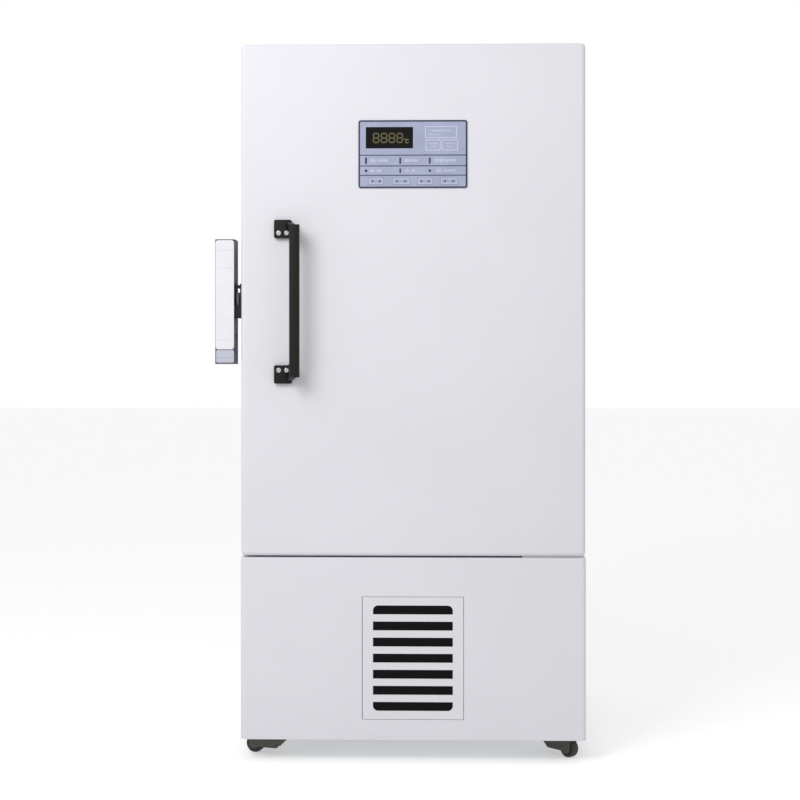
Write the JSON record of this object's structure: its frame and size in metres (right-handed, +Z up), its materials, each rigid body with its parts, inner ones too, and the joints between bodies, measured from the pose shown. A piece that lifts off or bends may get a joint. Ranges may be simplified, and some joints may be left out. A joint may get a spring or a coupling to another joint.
{
  "type": "ultra low temperature freezer",
  "caption": "Upright ultra low temperature laboratory freezer with an insulated door, inner doors, latch, handle, control panel, filter grille and swivel casters.",
  "frame": {"origin": "centre of the footprint at floor level, handle, latch and wall spacers included", "axes": "+Z up, front towards -Y, access port along +Y"},
  "size_m": [1.0084, 0.995, 1.95],
  "materials": {
    "white_paint": "satin",
    "stainless": "brushed",
    "zinc_steel": "satin",
    "black_steel": "satin",
    "foam": "matte",
    "white_plastic": "satin",
    "grey_plastic": "matte",
    "black_plastic": "satin",
    "panel_film": "satin",
    "gasket_rubber": "matte",
    "black_rubber": "matte",
    "copper": "satin",
    "fin_aluminium": "satin",
    "aluminium": "satin",
    "caster_steel": "satin"
  },
  "bodies": {
    "cabinet": {"cabinet_shell": "white_paint", "cabinet_back": "white_paint", "insulation_foam": "foam", "chamber_liner": "stainless", "breaker_frame": "white_plastic", "evaporator_coil": "copper", "shelf_standards": "stainless", "shelves": "stainless", "inner_door_hinges": "stainless", "access_port_liner": "white_plastic", "base_frame": "zinc_steel", "base_front_panel": "white_paint", "base_side_panel_left": "white_paint", "base_side_panel_right": "white_paint", "base_rear_grille": "white_paint", "condenser": "fin_aluminium", "fan_shroud": "zinc_steel", "fan_motor": "black_steel", "compressor_high_stage": "black_steel", "compressor_low_stage": "black_steel", "cascade_heat_exchanger": "black_rubber", "refrigerant_lines": "copper", "control_box": "zinc_steel", "mains_inlet": "black_plastic", "door_hinge_plates": "black_steel", "latch_striker": "stainless", "wall_spacers": "black_plastic", "caster_plates": "caster_steel"},
    "door": {"door_outer_skin": "white_paint", "door_foam": "foam", "door_inner_liner": "white_plastic", "door_gasket": "gasket_rubber", "door_hinge_bushes": "grey_plastic", "controller_housing": "grey_plastic", "display_module": "black_plastic", "panel_overlay": "panel_film", "handle_bar": "black_plastic", "handle_brackets": "black_plastic", "handle_screws": "stainless", "latch_bracket": "black_steel"},
    "latch": {"latch_lever": "white_plastic", "latch_hook": "stainless"},
    "inner_door_lower": {"inner_door_lower": "white_plastic"},
    "inner_door_upper": {"inner_door_upper": "white_plastic"},
    "filter_door": {"filter_grille": "white_paint", "air_filter": "black_rubber"},
    "fan": {"fan_blade": "aluminium"},
    "mains_switch": {"mains_switch_rocker": "black_plastic"},
    "key_1": {"key_1": "panel_film"},
    "key_2": {"key_2": "panel_film"},
    "key_3": {"key_3": "panel_film"},
    "key_4": {"key_4": "panel_film"},
    "caster_front_left": {"caster_fork_front_left": "caster_steel"},
    "wheel_front_left": {"caster_wheel_front_left": "black_rubber"},
    "caster_front_right": {"caster_fork_front_right": "caster_steel"},
    "wheel_front_right": {"caster_wheel_front_right": "black_rubber"},
    "caster_rear_left": {"caster_fork_rear_left": "caster_steel"},
    "wheel_rear_left": {"caster_wheel_rear_left": "black_rubber"},
    "caster_rear_right": {"caster_fork_rear_right": "caster_steel"},
    "wheel_rear_right": {"caster_wheel_rear_right": "black_rubber"}
  },
  "joints": [
    {"name": "main_door", "type": "hinge", "parent": "cabinet", "child": "door", "pos_m": [0.47275, -0.3885, 1.2545], "axis": [0, 0, 1], "range_deg": [0, 115]},
    {"name": "latch_turn", "type": "hinge", "parent": "door", "child": "latch", "pos_m": [-0.45225, -0.4045, 1.252], "axis": [0, 0, 1], "range_deg": [0, 50]},
    {"name": "inner_door_lower_swing", "type": "hinge", "parent": "cabinet", "child": "inner_door_lower", "pos_m": [0.36175, -0.2835, 0.97], "axis": [0, 0, 1], "range_deg": [0, 92]},
    {"name": "inner_door_upper_swing", "type": "hinge", "parent": "cabinet", "child": "inner_door_upper", "pos_m": [0.36175, -0.2835, 1.535], "axis": [0, 0, 1], "range_deg": [0, 92]},
    {"name": "filter_door_swing", "type": "hinge", "parent": "cabinet", "child": "filter_door", "pos_m": [-0.09875, -0.4235, 0.2827], "axis": [0, 0, -1], "range_deg": [0, 100]},
    {"name": "key_1_press", "type": "slide", "parent": "door", "child": "key_1", "axis": [0, 1, 0], "range_m": [0, 0.0005], "stiffness_N_per_m": 3000},
    {"name": "key_2_press", "type": "slide", "parent": "door", "child": "key_2", "axis": [0, 1, 0], "range_m": [0, 0.0005], "stiffness_N_per_m": 3000},
    {"name": "key_3_press", "type": "slide", "parent": "door", "child": "key_3", "axis": [0, 1, 0], "range_m": [0, 0.0005], "stiffness_N_per_m": 3000},
    {"name": "key_4_press", "type": "slide", "parent": "door", "child": "key_4", "axis": [0, 1, 0], "range_m": [0, 0.0005], "stiffness_N_per_m": 3000},
    {"name": "mains_switch_rock", "type": "hinge", "parent": "cabinet", "child": "mains_switch", "pos_m": [-0.29475, 0.4605, 0.322], "axis": [1, 0, 0], "range_deg": [-8, 8]},
    {"name": "fan_spin", "type": "hinge", "parent": "cabinet", "child": "fan", "pos_m": [0.03525, -0.299, 0.2827], "axis": [0, 1, 0], "continuous": true},
    {"name": "caster_front_left_swivel", "type": "hinge", "parent": "cabinet", "child": "caster_front_left", "pos_m": [-0.36475, -0.327, 0.066], "axis": [0, 0, 1], "continuous": true},
    {"name": "wheel_front_left_roll", "type": "hinge", "parent": "caster_front_left", "child": "wheel_front_left", "pos_m": [-0.40435, -0.31639, 0.025], "axis": [0.2588, 0.9659, 0], "continuous": true},
    {"name": "caster_front_right_swivel", "type": "hinge", "parent": "cabinet", "child": "caster_front_right", "pos_m": [0.43525, -0.327, 0.066], "axis": [0, 0, 1], "continuous": true},
    {"name": "wheel_front_right_roll", "type": "hinge", "parent": "caster_front_right", "child": "wheel_front_right", "pos_m": [0.46373, -0.35649, 0.025], "axis": [-0.7193, -0.6947, 0], "continuous": true},
    {"name": "caster_rear_left_swivel", "type": "hinge", "parent": "cabinet", "child": "caster_rear_left", "pos_m": [-0.36475, 0.3725, 0.066], "axis": [0, 0, 1], "continuous": true},
    {"name": "wheel_rear_left_roll", "type": "hinge", "parent": "caster_rear_left", "child": "wheel_rear_left", "pos_m": [-0.40026, 0.393, 0.025], "axis": [0.5, 0.866, 0], "continuous": true},
    {"name": "caster_rear_right_swivel", "type": "hinge", "parent": "cabinet", "child": "caster_rear_right", "pos_m": [0.43525, 0.3725, 0.066], "axis": [0, 0, 1], "continuous": true},
    {"name": "wheel_rear_right_roll", "type": "hinge", "parent": "caster_rear_right", "child": "wheel_rear_right", "pos_m": [0.47378, 0.38652, 0.025], "axis": [0.342, -0.9397, 0], "continuous": true}
  ],
  "couplings": [
    {"joint": "inner_door_lower_swing", "follows": "main_door", "ratio": 0.8},
    {"joint": "inner_door_upper_swing", "follows": "main_door", "ratio": 0.8}
  ]
}
